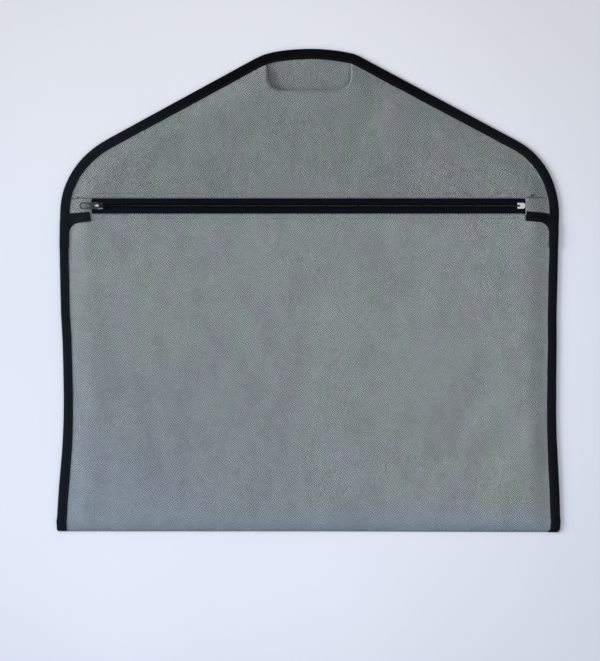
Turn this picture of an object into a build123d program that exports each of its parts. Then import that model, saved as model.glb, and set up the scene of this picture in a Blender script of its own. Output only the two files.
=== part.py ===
from build123d import *
import math
import os

# A short garment bag lying on its back. X runs across it, Y from the bottom fold to the hanger end
# and Z up out of its front. Lengths are in millimetres. Heights along Y are measured from the fold
# here; write() moves every piece so that the origin is under the middle of the bag.

# Outline, out to the outer edge of the binding.
FOLD_WIDTH = 613.6
WAIST_WIDTH = 600.4
WAIST_HEIGHT = 150.0
SHOULDER_WIDTH = 608.4
SHOULDER_RADIUS = 100.0
SHOULDER_SLOPE = 28.4
CROWN_WIDTH = 112.0
CROWN_RISE = 6.5
HEIGHT = 588.5

# Cloth, and the tape that binds its edges.
CLOTH = 0.8
CAVITY = 6.5
RISE_RUN = 20.0
BINDING_WIDTH = 10.7
BINDING_THICK = 0.8
EDGE_GAP = 0.2
JOGGLE = 1.2
FOLD_WALL = 1.5

# Hook opening in the yoke, and the facing strip under its edge.
HOOK_WIDTH = 102.0
HOOK_DEPTH = 51.5
HOOK_RADIUS = 18.0
FACING_WIDTH = 8.0

# Zip.
ZIP_ABOVE_SHOULDER = 8.4
ZIP_WINDOW = 17.3
ZIP_TAPE_WIDTH = 16.0
ZIP_TAPE_THICK = 0.8
ZIP_END_LAP = 2.9
CHAIN_SLOT = 1.6
COIL_WIDTH = 2.0
COIL_HEIGHT = 1.2
TOP_STOP_LENGTH = 2.2
BOTTOM_STOP_LENGTH = 9.8
BOTTOM_STOP_WIDTH = 7.0
PRONG_LENGTH = 3.3
PRONG_GAP = 2.3

# Slider and its pull.
SLIDER_LENGTH = 12.5
SLIDER_WIDTH = 8.6
SLIDER_REAR_WIDTH = 7.8
SLIDER_PLATE = 0.9
SLIDER_SETBACK = 2.0
NECK_LENGTH = 2.7
BRIDGE_LENGTH = 8.6
BRIDGE_WIDTH = 2.4
BRIDGE_THICK = 1.1
BRIDGE_GAP = 1.8
PULL_LENGTH = 22.0
PULL_WIDTH = 8.0
PULL_THICK = 1.2
PULL_EYE = 5.8
PULL_SLOT_LENGTH = 10.6
PULL_SLOT_WIDTH = 5.0
RUNNING = 0.3

# How much of the half width rounded ends and corners take.
ROUND_END = 0.9
ROUND_CORNER = 0.5

# Sewing thread, drawn as one thin bar for each row of stitches.
THREAD = 0.5
THREAD_HEIGHT = 0.3
BINDING_STITCH = 2.2
TOPSTITCH = 2.0
TAPE_EDGE_STITCH = 0.9
STITCH_END = 1.0

# Heights above the surface that the bag lies on.
BACK_FLANGE_TOP = BINDING_THICK + CLOTH
FLANGE_TOP = BACK_FLANGE_TOP + CLOTH
BINDING_TOP = FLANGE_TOP + BINDING_THICK
PANEL_TOP = 2 * CLOTH + CAVITY
TAPE_TOP = PANEL_TOP - CLOTH
TAPE_BOTTOM = TAPE_TOP - ZIP_TAPE_THICK
COIL_TOP = TAPE_TOP + COIL_HEIGHT

# Where the shoulder's rounding starts and how far in from the edge the front cloth rises.
side_corner = HEIGHT - CROWN_RISE - (SHOULDER_WIDTH - CROWN_WIDTH) / 2 * math.tan(
    math.radians(SHOULDER_SLOPE)
)
shoulder_start = side_corner - SHOULDER_RADIUS * math.tan(math.radians(90 - SHOULDER_SLOPE) / 2)
back_step = BINDING_WIDTH + RUNNING
rise_foot = BINDING_WIDTH + FOLD_WALL
rise_head = rise_foot + RISE_RUN

# The zip is as long as the flat of the front at the upper tape's outer edge.
zip_height = shoulder_start + ZIP_ABOVE_SHOULDER
tape_reach = math.sqrt(
    (SHOULDER_RADIUS - rise_head) ** 2 - (ZIP_ABOVE_SHOULDER + ZIP_TAPE_WIDTH) ** 2
)
tape_half = SHOULDER_WIDTH / 2 - SHOULDER_RADIUS + tape_reach - RUNNING
window_half = tape_half - ZIP_END_LAP
tab_top = zip_height - ZIP_WINDOW / 2 + SLIDER_SETBACK
tab_bottom = tab_top - BINDING_WIDTH
panel_split = (tab_top + tab_bottom) / 2

# The slider stands at the closed end of the zip and stops against the bottom stop.
slider_front = -window_half + SLIDER_SETBACK
slider_rear = slider_front + SLIDER_LENGTH
bottom_stop_start = window_half - BOTTOM_STOP_LENGTH - RUNNING
slider_travel = bottom_stop_start - RUNNING - slider_rear
wing_under = COIL_TOP + RUNNING
wing_top = wing_under + SLIDER_PLATE
bridge_middle = (slider_front + slider_rear) / 2
pull_axis_height = wing_top + BRIDGE_GAP / 2

# Taller and lower than everything, for cutting right through.
ABOVE = 40.0
BELOW = -20.0


def s_bend(low, high):
    """Two tangent arcs from low to high, both ends running straight up Y."""
    middle = ((low[0] + high[0]) / 2, (low[1] + high[1]) / 2)
    return TangentArc(low, middle, tangent=(0, 1)) + TangentArc(high, middle, tangent=(0, -1))


def crown_corner(inset):
    """Where the shoulder's slope meets the crown's arc, both moved in by inset."""
    half = CROWN_WIDTH / 2
    radius = (half**2 + CROWN_RISE**2) / (2 * CROWN_RISE)
    centre = HEIGHT - radius
    slope = math.radians(SHOULDER_SLOPE)
    along = (-math.cos(slope), math.sin(slope))
    start = (half - inset * math.sin(slope), HEIGHT - CROWN_RISE - inset * math.cos(slope))
    toward = along[0] * start[0] + along[1] * (start[1] - centre)
    beyond = start[0] ** 2 + (start[1] - centre) ** 2 - (radius - inset) ** 2
    step = -toward + math.copysign(math.sqrt(toward**2 - beyond), toward)
    return start[0] + along[0] * step, start[1] + along[1] * step


def outline(inset=0.0, fold_inset=0.0):
    """The bag's outline as a face, moved in by inset on its bound sides and by fold_inset at the fold."""
    fold_corner = (FOLD_WIDTH / 2 - inset, fold_inset)
    waist = (WAIST_WIDTH / 2 - inset, WAIST_HEIGHT)
    shoulder = (SHOULDER_WIDTH / 2 - inset, shoulder_start)
    radius = SHOULDER_RADIUS - inset
    turn = 90 - SHOULDER_SLOPE
    rounding = CenterArc((SHOULDER_WIDTH / 2 - SHOULDER_RADIUS, shoulder_start), radius, 0, turn)
    corner = crown_corner(inset)
    side = s_bend(fold_corner, waist) + s_bend(waist, shoulder) + rounding + Line(rounding @ 1, corner)
    crown = ThreePointArc(corner, (0, HEIGHT - inset), (-corner[0], corner[1]))
    fold = Line((-fold_corner[0], fold_inset), fold_corner)
    return make_face(side + mirror(side, about=Plane.YZ) + crown + fold)


def ring(outer, inner):
    """The strip that runs along the bound sides between two insets."""
    return outline(outer) - outline(inner)


def between(face, low, high):
    """A face extruded from height low to height high."""
    return extrude(Pos(0, 0, low) * face, high - low)


def slab(x0, x1, y0, y1):
    """A rectangle given by its edges."""
    return Pos((x0 + x1) / 2, (y0 + y1) / 2) * Rectangle(x1 - x0, y1 - y0)


def block(x0, x1, y0, y1, low, high):
    """A box given by its edges."""
    return between(slab(x0, x1, y0, y1), low, high)


def under_front(lift):
    """Everything below the front cloth's top face, with that face lifted by lift."""
    flange = between(outline(BINDING_THICK + EDGE_GAP), BELOW, FLANGE_TOP + lift)
    foot = Pos(0, 0, FLANGE_TOP + lift) * outline(rise_foot, FOLD_WALL)
    head = Pos(0, 0, PANEL_TOP + lift) * outline(rise_head, FOLD_WALL + RISE_RUN)
    return flange + loft([foot, head], ruled=True)


def front_skin(region, low, high):
    """A layer over the front cloth between two lifts, inside a region seen from above."""
    column = between(region, BELOW, ABOVE)
    return (under_front(high) & column) - under_front(low)


def hook_region(grow=0.0):
    """The hook cut-out seen from above, open past the crown, grown by grow."""
    bottom = HEIGHT - HOOK_DEPTH - grow
    half = HOOK_WIDTH / 2 + grow
    radius = HOOK_RADIUS + grow
    cut = slab(-half, half, bottom, HEIGHT + HOOK_DEPTH)
    return fillet(cut.vertices().group_by(Axis.Y)[0], radius)


def make_back_panel():
    """Back cloth, flat on the table inside its stepped edge."""
    return between(outline(back_step + JOGGLE), 0, CLOTH)


def make_back_edge():
    """Edge of the back cloth, stepped up over the binding's lower leg along its bound sides."""
    joggle = between(ring(back_step, back_step + JOGGLE), 0, BACK_FLANGE_TOP)
    flange = between(ring(BINDING_THICK + EDGE_GAP, back_step + JOGGLE), BINDING_THICK, BACK_FLANGE_TOP)
    return joggle + flange


def make_front_panel():
    """Front cloth below the zip, with the turned wall of the bottom fold."""
    below = slab(-FOLD_WIDTH, FOLD_WIDTH, -HEIGHT, panel_split - EDGE_GAP / 2)
    sill = slab(-window_half, window_half, 0, zip_height - ZIP_WINDOW / 2)
    fold_strip = outline(rise_foot + EDGE_GAP) & slab(-FOLD_WIDTH, FOLD_WIDTH, 0, FOLD_WALL)
    fold_wall = between(fold_strip, CLOTH, BACK_FLANGE_TOP)
    return front_skin(below + sill, -CLOTH, 0) + fold_wall


def yoke_region():
    """The front cloth above the zip seen from above, less the hook cut-out."""
    above = slab(-FOLD_WIDTH, FOLD_WIDTH, panel_split + EDGE_GAP / 2, 2 * HEIGHT)
    window = slab(-window_half, window_half, 0, zip_height + ZIP_WINDOW / 2)
    return above - window - hook_region()


def make_yoke_panel():
    """The flat of the front cloth above the zip, with the hook cut-out."""
    flat = outline(rise_head, FOLD_WALL + RISE_RUN)
    return between(yoke_region() & flat, PANEL_TOP - CLOTH, PANEL_TOP)


def make_yoke_edge():
    """Right edge of that cloth, which slopes down to the binding, with the lug beside the zip."""
    right = slab(0, FOLD_WIDTH, 0, 2 * HEIGHT)
    flat = outline(rise_head, FOLD_WALL + RISE_RUN)
    return front_skin((yoke_region() & right) - flat, -CLOTH, 0)


def make_hook_facing():
    """Strip of cloth under the edge of the hook cut-out."""
    strip = hook_region(FACING_WIDTH) - hook_region()
    inside = outline(rise_foot + JOGGLE)
    return front_skin(strip & inside, -2 * CLOTH, -CLOTH) & block(
        -HOOK_WIDTH, HOOK_WIDTH, 0, HEIGHT, BACK_FLANGE_TOP + EDGE_GAP, ABOVE
    )


def make_binding(span):
    """Tape folded over the cloth's edges, along the stretch that lies in span."""
    leg = ring(0, BINDING_WIDTH) & span
    wall = ring(0, BINDING_THICK) & span
    return (
        between(leg, 0, BINDING_THICK)
        + between(wall, 0, BINDING_TOP)
        + between(leg, FLANGE_TOP, BINDING_TOP)
    )


def make_shoulder_binding():
    """Binding over both shoulders and the crown, from side to side."""
    return make_binding(slab(-FOLD_WIDTH, FOLD_WIDTH, tab_top + EDGE_GAP, 2 * HEIGHT))


def make_side_binding():
    """Right side binding, with the tab that it ends in beside the zip."""
    along_side = make_binding(slab(0, FOLD_WIDTH, 0, tab_top))
    tab = outline(BINDING_WIDTH) & slab(window_half, FOLD_WIDTH, tab_bottom, tab_top)
    return along_side + front_skin(tab, 0, BINDING_THICK)


def make_shoulder_thread():
    """Row of stitches along the inner edge of the shoulder binding."""
    inner = BINDING_WIDTH - BINDING_STITCH + THREAD
    row = ring(inner - THREAD, inner) & slab(-FOLD_WIDTH, FOLD_WIDTH, tab_top + STITCH_END, 2 * HEIGHT)
    return between(row, BINDING_TOP, BINDING_TOP + THREAD_HEIGHT)


def make_side_thread():
    """Row of stitches along the right side binding and on along its tab."""
    inner = BINDING_WIDTH - BINDING_STITCH + THREAD
    turn = tab_bottom + BINDING_STITCH
    row = ring(inner - THREAD, inner) & slab(0, FOLD_WIDTH, STITCH_END, turn)
    tab_start = window_half + STITCH_END
    tab_row = outline(inner - THREAD) & slab(tab_start, FOLD_WIDTH, turn - THREAD, turn)
    along_side = between(row, BINDING_TOP, BINDING_TOP + THREAD_HEIGHT)
    return along_side + front_skin(tab_row, BINDING_THICK, BINDING_THICK + THREAD_HEIGHT)


def stitch_row(half_length, height):
    """One straight row of topstitching on the front cloth, seen from above."""
    return slab(-half_length, half_length, height - THREAD / 2, height + THREAD / 2)


def make_upper_zip_thread():
    """Two rows of stitches above the zip; the nearer one runs on to the side bindings."""
    near = stitch_row(FOLD_WIDTH, zip_height + ZIP_WINDOW / 2 + TOPSTITCH) & outline(rise_foot)
    far = stitch_row(window_half, zip_height + ZIP_TAPE_WIDTH - TAPE_EDGE_STITCH)
    far_cut = far & outline(rise_head)
    return front_skin(near + far_cut, 0, THREAD_HEIGHT)


def make_lower_zip_thread():
    """Two rows of stitches below the zip."""
    reach = window_half - STITCH_END
    near = stitch_row(reach, zip_height - ZIP_WINDOW / 2 - TOPSTITCH)
    far = stitch_row(reach, zip_height - ZIP_TAPE_WIDTH + TAPE_EDGE_STITCH)
    return front_skin(near + far, 0, THREAD_HEIGHT)


def make_hook_thread():
    """Row of stitches round the hook cut-out."""
    row = (hook_region(TOPSTITCH + THREAD) - hook_region(TOPSTITCH)) & outline(rise_foot)
    return front_skin(row, 0, THREAD_HEIGHT)


def make_zip_tape(side):
    """One zip tape; side is 1 above the chain and -1 below it."""
    near = CHAIN_SLOT / 2
    y0, y1 = sorted((zip_height + side * near, zip_height + side * ZIP_TAPE_WIDTH))
    return block(-tape_half, tape_half, y0, y1, TAPE_BOTTOM, TAPE_TOP)


def on_chain(side, x0, x1):
    """A bar on one tape's inner edge, where the coil and its top stop sit."""
    near = CHAIN_SLOT / 2
    y0, y1 = sorted((zip_height + side * near, zip_height + side * (near + COIL_WIDTH)))
    return block(x0, x1, y0, y1, TAPE_TOP, COIL_TOP)


def make_coil(side):
    """One nylon coil, as the bar that its turns fill."""
    return on_chain(side, slider_front + TOP_STOP_LENGTH + 2 * EDGE_GAP, bottom_stop_start - EDGE_GAP)


def make_top_stop(side):
    """Stop that is clamped on one tape in front of its coil."""
    return on_chain(side, slider_front + EDGE_GAP, slider_front + EDGE_GAP + TOP_STOP_LENGTH)


def make_bottom_stop():
    """Metal clamp round both tapes at the zip's open end, with two prongs towards the coils."""
    half = BOTTOM_STOP_WIDTH / 2
    x0, x1 = bottom_stop_start, bottom_stop_start + BOTTOM_STOP_LENGTH
    plan = Pos((x0 + x1) / 2, zip_height) * Rectangle(BOTTOM_STOP_LENGTH, BOTTOM_STOP_WIDTH)
    plan = fillet(plan.vertices().group_by(Axis.X)[-1], half * ROUND_END)
    fork = slab(x0, x0 + PRONG_LENGTH, zip_height - PRONG_GAP / 2, zip_height + PRONG_GAP / 2)
    top = between(plan - fork, TAPE_TOP, COIL_TOP + RUNNING)
    bottom = between(plan - fork, TAPE_BOTTOM - CLOTH, TAPE_BOTTOM)
    web_half = CHAIN_SLOT / 2 - EDGE_GAP
    web_end = min(x1, tape_half) - EDGE_GAP
    web = block(
        x0 + PRONG_LENGTH, web_end, zip_height - web_half, zip_height + web_half,
        TAPE_BOTTOM - CLOTH, COIL_TOP,
    )
    return top + bottom + web


def slider_plan():
    """The slider seen from above: wider at its front, with rounded corners."""
    front, rear = SLIDER_WIDTH / 2, SLIDER_REAR_WIDTH / 2
    waist = slider_front + SLIDER_LENGTH / 2
    points = [
        (slider_front, -front), (waist, -front), (slider_rear, -rear),
        (slider_rear, rear), (waist, front), (slider_front, front),
    ]
    plan = make_face(Polyline(points, close=True))
    return Pos(0, zip_height) * fillet(plan.vertices().group_by(Axis.X)[0], front * ROUND_CORNER)


def make_bridge():
    """Arch on the slider's top that carries the pull."""
    tall = BRIDGE_GAP + BRIDGE_THICK
    arch = Rectangle(BRIDGE_LENGTH, tall)
    arch = fillet(arch.vertices().group_by(Axis.Y)[-1], tall * ROUND_CORNER)
    gap = Pos(0, -BRIDGE_THICK / 2) * Rectangle(BRIDGE_LENGTH - 2 * BRIDGE_THICK, BRIDGE_GAP)
    face = Plane.XZ * (arch - gap)
    solid = extrude(face, BRIDGE_WIDTH / 2, both=True)
    return Pos(bridge_middle, zip_height, wing_top + tall / 2) * solid


def make_slider():
    """Slider: two wings round the chain, joined by a neck, with the bridge on top."""
    plan = slider_plan()
    channel = CHAIN_SLOT / 2 + COIL_WIDTH + RUNNING
    x0, x1 = slider_front - SLIDER_LENGTH, slider_rear + SLIDER_LENGTH
    inside = slab(x0, x1, zip_height - channel, zip_height + channel)
    lower_top = TAPE_BOTTOM - RUNNING
    upper = between(plan, wing_under, wing_top)
    flanges = between(plan - inside, TAPE_TOP + RUNNING, wing_under)
    lower = between(plan, lower_top - SLIDER_PLATE, lower_top)
    neck_half = CHAIN_SLOT / 2 - RUNNING
    neck = block(
        slider_front + EDGE_GAP, slider_front + EDGE_GAP + NECK_LENGTH,
        zip_height - neck_half, zip_height + neck_half, lower_top - SLIDER_PLATE, wing_top,
    )
    return upper + flanges + lower + neck + make_bridge()


def make_pull():
    """Flat pull tab whose end bar passes under the bridge."""
    half = PULL_WIDTH / 2
    bar = PULL_THICK / 2
    plate = slab(-PULL_LENGTH, bar, -half, half)
    plate = fillet(plate.vertices().group_by(Axis.X)[0], half * ROUND_END)
    eye_half = BRIDGE_WIDTH / 2 + 2 * RUNNING
    eye = slab(-PULL_EYE, -bar, -eye_half, eye_half)
    slot_middle = -(PULL_LENGTH + PULL_EYE) / 2 - PULL_THICK
    hole = Pos(slot_middle, 0) * SlotOverall(PULL_SLOT_LENGTH, PULL_SLOT_WIDTH)
    body = between(plate - eye - hole, -bar, bar)
    body = fillet(body.edges().filter_by(Axis.Y).group_by(Axis.X)[-1], bar * ROUND_END)
    return Pos(bridge_middle, zip_height, pull_axis_height) * body


def write(name, shape):
    """Moves a piece into the part's frame and writes it."""
    export_step(Pos(0, -HEIGHT / 2) * shape, f"parts/{name}.step")


os.makedirs("parts", exist_ok=True)
side_binding = make_side_binding()
side_thread = make_side_thread()
yoke_edge = make_yoke_edge()
write("back_panel", make_back_panel())
write("back_panel_edge", make_back_edge())
write("front_panel", make_front_panel())
write("yoke_panel", make_yoke_panel())
write("yoke_edge_right", yoke_edge)
write("yoke_edge_left", mirror(yoke_edge, about=Plane.YZ))
write("hook_opening_facing", make_hook_facing())
write("shoulder_binding", make_shoulder_binding())
write("side_binding_right", side_binding)
write("side_binding_left", mirror(side_binding, about=Plane.YZ))
write("thread_shoulder_binding", make_shoulder_thread())
write("thread_side_right", side_thread)
write("thread_side_left", mirror(side_thread, about=Plane.YZ))
write("thread_zip_upper", make_upper_zip_thread())
write("thread_zip_lower", make_lower_zip_thread())
write("thread_hook_opening", make_hook_thread())
for name, side in (("upper", 1), ("lower", -1)):
    write(f"zip_tape_{name}", make_zip_tape(side))
    write(f"zip_coil_{name}", make_coil(side))
    write(f"zip_top_stop_{name}", make_top_stop(side))
write("zip_bottom_stop", make_bottom_stop())
write("slider_body", make_slider())
write("pull_tab", make_pull())

print("slider travel", slider_travel)
print("pull axis", bridge_middle, zip_height - HEIGHT / 2, pull_axis_height)
print("window half", window_half, "zip height", zip_height - HEIGHT / 2)
print("rise head", rise_head, "tab", tab_bottom, tab_top)
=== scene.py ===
import math

import bpy
import numpy as np
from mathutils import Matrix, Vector, noise
from mathutils.geometry import delaunay_2d_cdt


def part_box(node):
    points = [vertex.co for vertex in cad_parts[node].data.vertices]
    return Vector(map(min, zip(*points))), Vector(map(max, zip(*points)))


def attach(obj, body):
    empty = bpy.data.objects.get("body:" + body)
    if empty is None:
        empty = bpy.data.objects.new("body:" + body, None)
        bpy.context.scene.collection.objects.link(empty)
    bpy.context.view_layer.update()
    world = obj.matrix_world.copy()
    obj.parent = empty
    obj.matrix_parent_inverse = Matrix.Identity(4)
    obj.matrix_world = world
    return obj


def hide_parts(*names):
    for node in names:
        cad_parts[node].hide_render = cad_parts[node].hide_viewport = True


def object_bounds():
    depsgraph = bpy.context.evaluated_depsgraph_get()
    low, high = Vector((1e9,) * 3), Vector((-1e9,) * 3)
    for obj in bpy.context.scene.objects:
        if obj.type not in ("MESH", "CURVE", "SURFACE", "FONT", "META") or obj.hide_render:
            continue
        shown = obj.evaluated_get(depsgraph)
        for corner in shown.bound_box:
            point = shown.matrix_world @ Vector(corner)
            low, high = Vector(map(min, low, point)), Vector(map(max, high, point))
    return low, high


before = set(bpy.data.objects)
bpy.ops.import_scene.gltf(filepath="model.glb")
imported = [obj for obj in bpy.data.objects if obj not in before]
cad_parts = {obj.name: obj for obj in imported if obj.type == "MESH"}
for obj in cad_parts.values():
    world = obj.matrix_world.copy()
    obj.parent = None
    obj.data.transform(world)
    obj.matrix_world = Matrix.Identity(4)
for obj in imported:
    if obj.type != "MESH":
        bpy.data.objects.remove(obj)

CAD_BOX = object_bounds()
MM = 0.001

# ---------------------------------------------------------------- sizes
# Places come from the frame; the rest is the bag's own cloth, tape and stitches. All in metres, except
# where a comment says millimetres.
# X runs across the bag, Y from the bottom fold up to the hanger end, Z up out of the front.
# The outline's half widths at the fold, the waist and the shoulders, its round shoulders and its crown.
LOW, HIGH = CAD_BOX
FOLD_Y, CROWN_Y = LOW.y, HIGH.y
FOLD_HALF = HIGH.x
WAIST_HALF = 300.2 * MM
SHOULDER_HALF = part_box("shoulder_binding")[1].x
WAIST_Y = FOLD_Y + 150 * MM
SHOULDER_RADIUS = 100 * MM
SHOULDER_SLOPE = math.radians(28.4)
CROWN_HALF = 56 * MM
CROWN_RISE = 6.5 * MM

# How thick the cloth is, how far its edges lie inside the tape's fold, and how wide the CAD's tape is.
CLOTH = 0.8 * MM
PANEL_INSET = 1.0 * MM
YOKE_INSET = 1.2 * MM
BINDING = 10.7 * MM
# Heights above the table: the front cloth under the tape, the tape, and the front panel.
FLANGE_TOP = 2.4 * MM
BINDING_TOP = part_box("shoulder_binding")[1].z
PANEL_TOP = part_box("front_panel")[1].z
# The front cloth rises from the binding: where the rise starts and how long it is. Between the edges it
# sags and has broad waves and small ripples, and beside the zip it lies flat for a way and then eases off.
RISE_FOOT = 12.2 * MM
RISE_RUN = 26 * MM
SAG, WAVES, RIPPLES = 1.1 * MM, 0.7 * MM, 0.22 * MM
ZIP_FLAT, ZIP_EASE = 12 * MM, 45 * MM

TAPE_LOW, TAPE_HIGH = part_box("zip_tape_lower")[0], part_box("zip_tape_upper")[1]
ZIP_Y = (TAPE_LOW.y + TAPE_HIGH.y) / 2
TAPE_TOP = TAPE_HIGH.z
SILL_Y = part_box("front_panel")[1].y
WINDOW = 2 * (ZIP_Y - SILL_Y)
TAPE_END = TAPE_HIGH.x
# The zip's window in the cloth: its lower and upper edge stand back a little, and it ends at these places.
SILL_BACK, HEAD_BACK = 1.0 * MM, 0.5 * MM
WINDOW_LEFT = -TAPE_END + 3.9 * MM
WINDOW_RIGHT = TAPE_END - 2.9 * MM
TAB_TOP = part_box("side_binding_left")[1].y
TAB_BOTTOM = TAB_TOP - BINDING

# The hook cut-out: half width, sideways place, lower edge, corner radius and the hem under its edge.
HOOK_HALF = 51 * MM
HOOK_X = 1.3 * MM
HOOK_Y = CROWN_Y - 51.5 * MM
HOOK_RADIUS = 18 * MM
HEM = 7 * MM

# How the limp bag lies: sideways shift of its edges at heights up from the fold, in millimetres, and
# the tilt of the fold.
LIE_UP = np.array([0, 60, 100, 165, 230, 265, 350, 385, 415, 465, 520, 590])
LIE_SIDEWAYS = np.array([0.1, 1.1, 1.8, 2.1, 1.7, 0.6, 0.7, 1.5, 1.5, 3.2, 2.3, 1.1])
FOLD_TILT = 0.0033

# The tape spreads where it is pressed flat: its width at heights up from the fold, in millimetres.
TAPE_UP = np.array([0, 80, 150, 230, 350, 385, 470, 590])
TAPE_WIDE = np.array([12.1, 12.0, 11.3, 10.9, 10.9, 11.5, 11.7, 12.6])

# A side tape's last stretch, its tab: how far below its top the turn starts, how far the cloth's corners
# sit below the CAD tab, how wide the tape is there and at what share of that the stitches run. For each
# side: the radius of its turn at the outer and at the inner edge, how far it hangs below the CAD tab and
# rises again towards the zip, and where it ends beside the zip, with the slant of that end.
TURN_LENGTH = 44 * MM
TAB_DROP = 1.8 * MM
TAB_WIDTH = 11.7 * MM
TAB_GROOVE = 0.79
TABS = ((1, "right", (20 * MM, 12 * MM), (1.3 * MM, 1.4 * MM), (1.1 * MM, 0.14)),
        (-1, "left", (9 * MM, 12 * MM), (2.4 * MM, 1.9 * MM), (1.6 * MM, 0.15)))

# Stitches: their length, the gap between them, the thread's radius, and how far in from a tape's inner
# edge or the hook cut-out they run.
STITCH = 2.3 * MM
STITCH_GAP = 0.8 * MM
STITCH_RADIUS = 0.27 * MM
DARK_STITCH_RADIUS = 0.46 * MM
STITCH_INSET = 2.2 * MM
# How far the coil turns and the tapes reach past the coils' CAD boxes towards each other.
COIL_REACH = 0.27 * MM
COIL_PITCH = 1.45 * MM
# The spacing of the cloth's mesh.
CLOTH_GRID = 3.6 * MM
# The width of a yarn each way, and the scale of the noise that gives the ribs.
WARP, WEFT = 1.31 * MM, 1.43 * MM
RIBS = 900
# How wide the metal's edges are rounded.
METAL_EDGE = 0.14 * MM
STOP_EDGE = 0.42 * MM


# ---------------------------------------------------------------- outline
def half_outline(softening):
    """The right half of the bag's outer edge, bottom corner to crown, its corners rounded so many times."""
    shoulder_y = CROWN_Y - CROWN_RISE - (SHOULDER_HALF - CROWN_HALF) * math.tan(SHOULDER_SLOPE)
    start = shoulder_y - SHOULDER_RADIUS * math.tan((math.pi / 2 - SHOULDER_SLOPE) / 2)
    points = []
    below, above = (FOLD_Y, WAIST_Y, FOLD_HALF, WAIST_HALF), (WAIST_Y, start, WAIST_HALF, SHOULDER_HALF)
    for low, high, x0, x1 in (below, above):
        for t in np.linspace(0, 1, 80, endpoint=False):
            ease = (1 - math.cos(math.pi * t)) / 2
            points.append((x0 + (x1 - x0) * ease, low + (high - low) * t))
    centre = SHOULDER_HALF - SHOULDER_RADIUS
    for turn in np.linspace(0, math.pi / 2 - SHOULDER_SLOPE, 60):
        points.append((centre + SHOULDER_RADIUS * math.cos(turn), start + SHOULDER_RADIUS * math.sin(turn)))
    points.append((CROWN_HALF, CROWN_Y - CROWN_RISE))
    radius = (CROWN_HALF**2 + CROWN_RISE**2) / (2 * CROWN_RISE)
    for x in np.linspace(CROWN_HALF, 0, 20)[1:]:
        points.append((x, CROWN_Y - radius + math.sqrt(radius**2 - x**2)))
    even = respace(np.array(points), 1.5 * MM)
    return soften(even, softening)


def respace(points, step):
    """Points at an even spacing along a polyline."""
    along = np.concatenate([[0], np.cumsum(np.linalg.norm(np.diff(points, axis=0), axis=1))])
    count = max(2, int(round(along[-1] / step)) + 1)
    at = np.linspace(0, along[-1], count)
    return np.stack([np.interp(at, along, points[:, i]) for i in range(points.shape[1])], axis=1)


def soften(points, rounds):
    """Rounds a polyline's corners a little; its ends stay."""
    points = points.copy()
    for _ in range(rounds):
        points[1:-1] = (points[:-2] + 2 * points[1:-1] + points[2:]) / 4
    return points


def whole_outline():
    """The outer edge from bottom right over the crown to bottom left, the left shoulder a little rounder."""
    right, left = half_outline(10), half_outline(60)
    points = np.concatenate([right, (left * [-1, 1])[-2::-1]])
    up = points[:, 1] - FOLD_Y
    points[:, 0] += np.interp(up, LIE_UP * MM, LIE_SIDEWAYS * MM)
    points[:, 1] -= points[:, 0] * FOLD_TILT * np.exp(-up / (120 * MM))
    return soften(points, 4)


def inward(points):
    """Unit normals of a polyline that runs anticlockwise, pointing into the bag."""
    run = np.gradient(points, axis=0)
    run /= np.linalg.norm(run, axis=1)[:, None]
    return np.stack([-run[:, 1], run[:, 0]], axis=1)


EDGE = whole_outline()
EDGE_IN = inward(EDGE)


def nearest(x, y, path):
    """How far points lie from the nearest point of a path, a few thousand at a time."""
    gaps = np.empty(len(x))
    block = 4000
    for start in range(0, len(x), block):
        part = slice(start, start + block)
        dx = x[part, None] - path[None, :, 0]
        dy = y[part, None] - path[None, :, 1]
        gaps[part] = np.sqrt((dx**2 + dy**2).min(axis=1))
    return gaps


def edge_distance(x, y):
    """How far points lie from the bound edge."""
    return nearest(x, y, EDGE[::2])


# ---------------------------------------------------------------- the cloth's relief
# Soft folds that the empty bag holds: start, end, half-width and height of each, in millimetres, the
# height negative for a hollow.
FOLDS = (
    (-212, -182, -130, -208, 26, -1.3), (-130, -208, -22, -236, 26, -1.5), (-22, -236, 126, -230, 24, -1.3),
    (208, -128, 180, -184, 15, -1.2), (250, -172, 190, -262, 16, -1.2), (-28, 108, -24, -66, 26, 1.0),
    (90, 240, 52, 150, 16, -1.3), (-215, 120, -150, 186, 14, -0.9), (-250, -120, -214, -206, 22, 0.9),
    (284, -178, 250, -206, 14, 0.9), (-150, -268, 60, -276, 14, 0.9), (226, 84, 120, 60, 30, 0.6),
    (-282, -30, -256, -44, 8, -0.7), (284, -104, 258, -92, 8, -0.7),
)

# Where the lips of the hook cut-out stand off the back: place and height.
HOOK_LIPS = ((-HOOK_HALF, HOOK_Y + 24 * MM, 2.2 * MM), (HOOK_HALF + 2 * MM, HOOK_Y + 26 * MM, 1.6 * MM))


def fold_height(x, y, fold):
    """One fold: a rounded ridge or hollow about a straight line that fades at both ends."""
    x0, y0, x1, y1, width, height = (value * MM for value in fold)
    run = np.array([x1 - x0, y1 - y0])
    length = np.linalg.norm(run)
    run /= length
    along = (x - x0) * run[0] + (y - y0) * run[1]
    across = -(x - x0) * run[1] + (y - y0) * run[0]
    past = np.maximum(0, np.maximum(-along, along - length))
    return height * np.exp(-((across / width) ** 2) - (past / (1.6 * width)) ** 2)


def drift(x, y, scale, seed):
    """Smooth noise from -1 to 1 at points, with hills about scale wide."""
    return np.array([noise.noise(Vector((a / scale, b / scale, seed))) for a, b in zip(x, y)])


def eased(share):
    """A share from 0 to 1 that starts and ends gently."""
    return share * share * (3 - 2 * share)


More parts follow.
